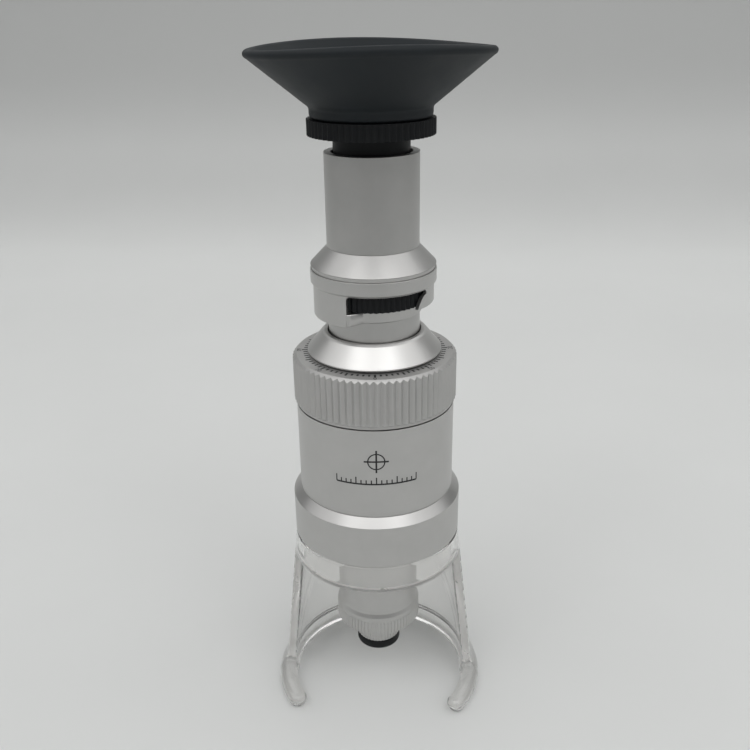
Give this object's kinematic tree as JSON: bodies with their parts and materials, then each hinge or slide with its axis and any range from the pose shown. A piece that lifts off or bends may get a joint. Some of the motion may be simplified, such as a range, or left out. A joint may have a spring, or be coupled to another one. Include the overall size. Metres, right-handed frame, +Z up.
{
  "type": "stand microscope loupe",
  "caption": "Measuring loupe: satin metal focusing tube on a clear horseshoe stand, with graduated focus ring, reticle wheel and wide rubber eyecup.",
  "frame": {"origin": "centre of the bounding box on the plane that the stand rests on, which is within 1 mm of the tube's axis", "axes": "+Z up along the optical tube; the stand's open front faces -Y; +X to the right of a user facing the front"},
  "size_m": [0.046, 0.0452, 0.1378],
  "materials": {
    "clear_acrylic": "clear polished moulded acrylic",
    "satin_aluminium": "fine bead-blasted and anodised natural aluminium",
    "inner_aluminium": "turned aluminium, inside the body",
    "black_anodised": "matt black anodised aluminium",
    "black_rubber": "soft matt black rubber",
    "brass": "turned brass",
    "steel": "plain steel",
    "nylon": "natural nylon",
    "lens_glass": "polished coated optical glass"
  },
  "bodies": {
    "stand_body": {"clear_stand": "clear_acrylic", "base_collar": "satin_aluminium", "body_sleeve": "satin_aluminium", "guide_tube": "inner_aluminium", "cone_collar": "satin_aluminium", "wave_washer": "steel"},
    "focus_body": {"focus_ring": "satin_aluminium", "focus_nut": "brass", "nut_screw_1": "steel", "nut_screw_2": "steel", "nut_screw_3": "steel"},
    "optical_tube": {"main_tube": "satin_aluminium", "focus_key": "brass", "nose_barrel": "satin_aluminium", "nose_ring": "satin_aluminium", "objective_cell": "satin_aluminium", "objective_tip": "black_anodised", "objective_front_lens": "lens_glass", "objective_spacer": "black_anodised", "objective_rear_lens": "lens_glass", "objective_retainer": "black_anodised", "tube_baffle": "black_anodised", "reticle_housing": "satin_aluminium", "housing_screw_1": "steel", "housing_screw_2": "steel", "housing_cap": "satin_aluminium", "cap_set_screw": "steel", "eyepiece_tube": "satin_aluminium"},
    "reticle_body": {"reticle_wheel": "black_anodised", "reticle_glass": "lens_glass", "reticle_retainer": "black_anodised"},
    "eyepiece_carrier": {"friction_sleeve": "nylon"},
    "eyepiece_body": {"eyepiece_barrel": "black_anodised", "eyepiece_ring": "black_anodised", "rubber_eyecup": "black_rubber", "eye_lens": "lens_glass", "eye_lens_retainer": "black_anodised", "lens_spacer": "black_anodised", "field_lens": "lens_glass", "field_lens_retainer": "black_anodised"}
  },
  "joints": [
    {"name": "focus_turn", "type": "hinge", "parent": "stand_body", "child": "focus_body", "pos_m": [0, 0, 0.0765], "axis": [0, 0, 1], "range_deg": [-1442, 1442]},
    {"name": "tube_focus", "type": "slide", "parent": "stand_body", "child": "optical_tube", "axis": [0, 0, 1], "range_m": [-0.0032, 0.0032]},
    {"name": "reticle_turn", "type": "hinge", "parent": "optical_tube", "child": "reticle_body", "pos_m": [0, 0, 0.0935], "axis": [0, 0, 1], "continuous": true},
    {"name": "eyepiece_slide", "type": "slide", "parent": "optical_tube", "child": "eyepiece_carrier", "axis": [0, 0, 1], "range_m": [-0.0024, 0.004]},
    {"name": "eyepiece_turn", "type": "hinge", "parent": "eyepiece_carrier", "child": "eyepiece_body", "pos_m": [0, 0, 0.124], "axis": [0, 0, 1], "continuous": true}
  ],
  "couplings": [
    {"joint": "focus_turn", "follows": "tube_focus", "rad_per_m": 7854}
  ]
}
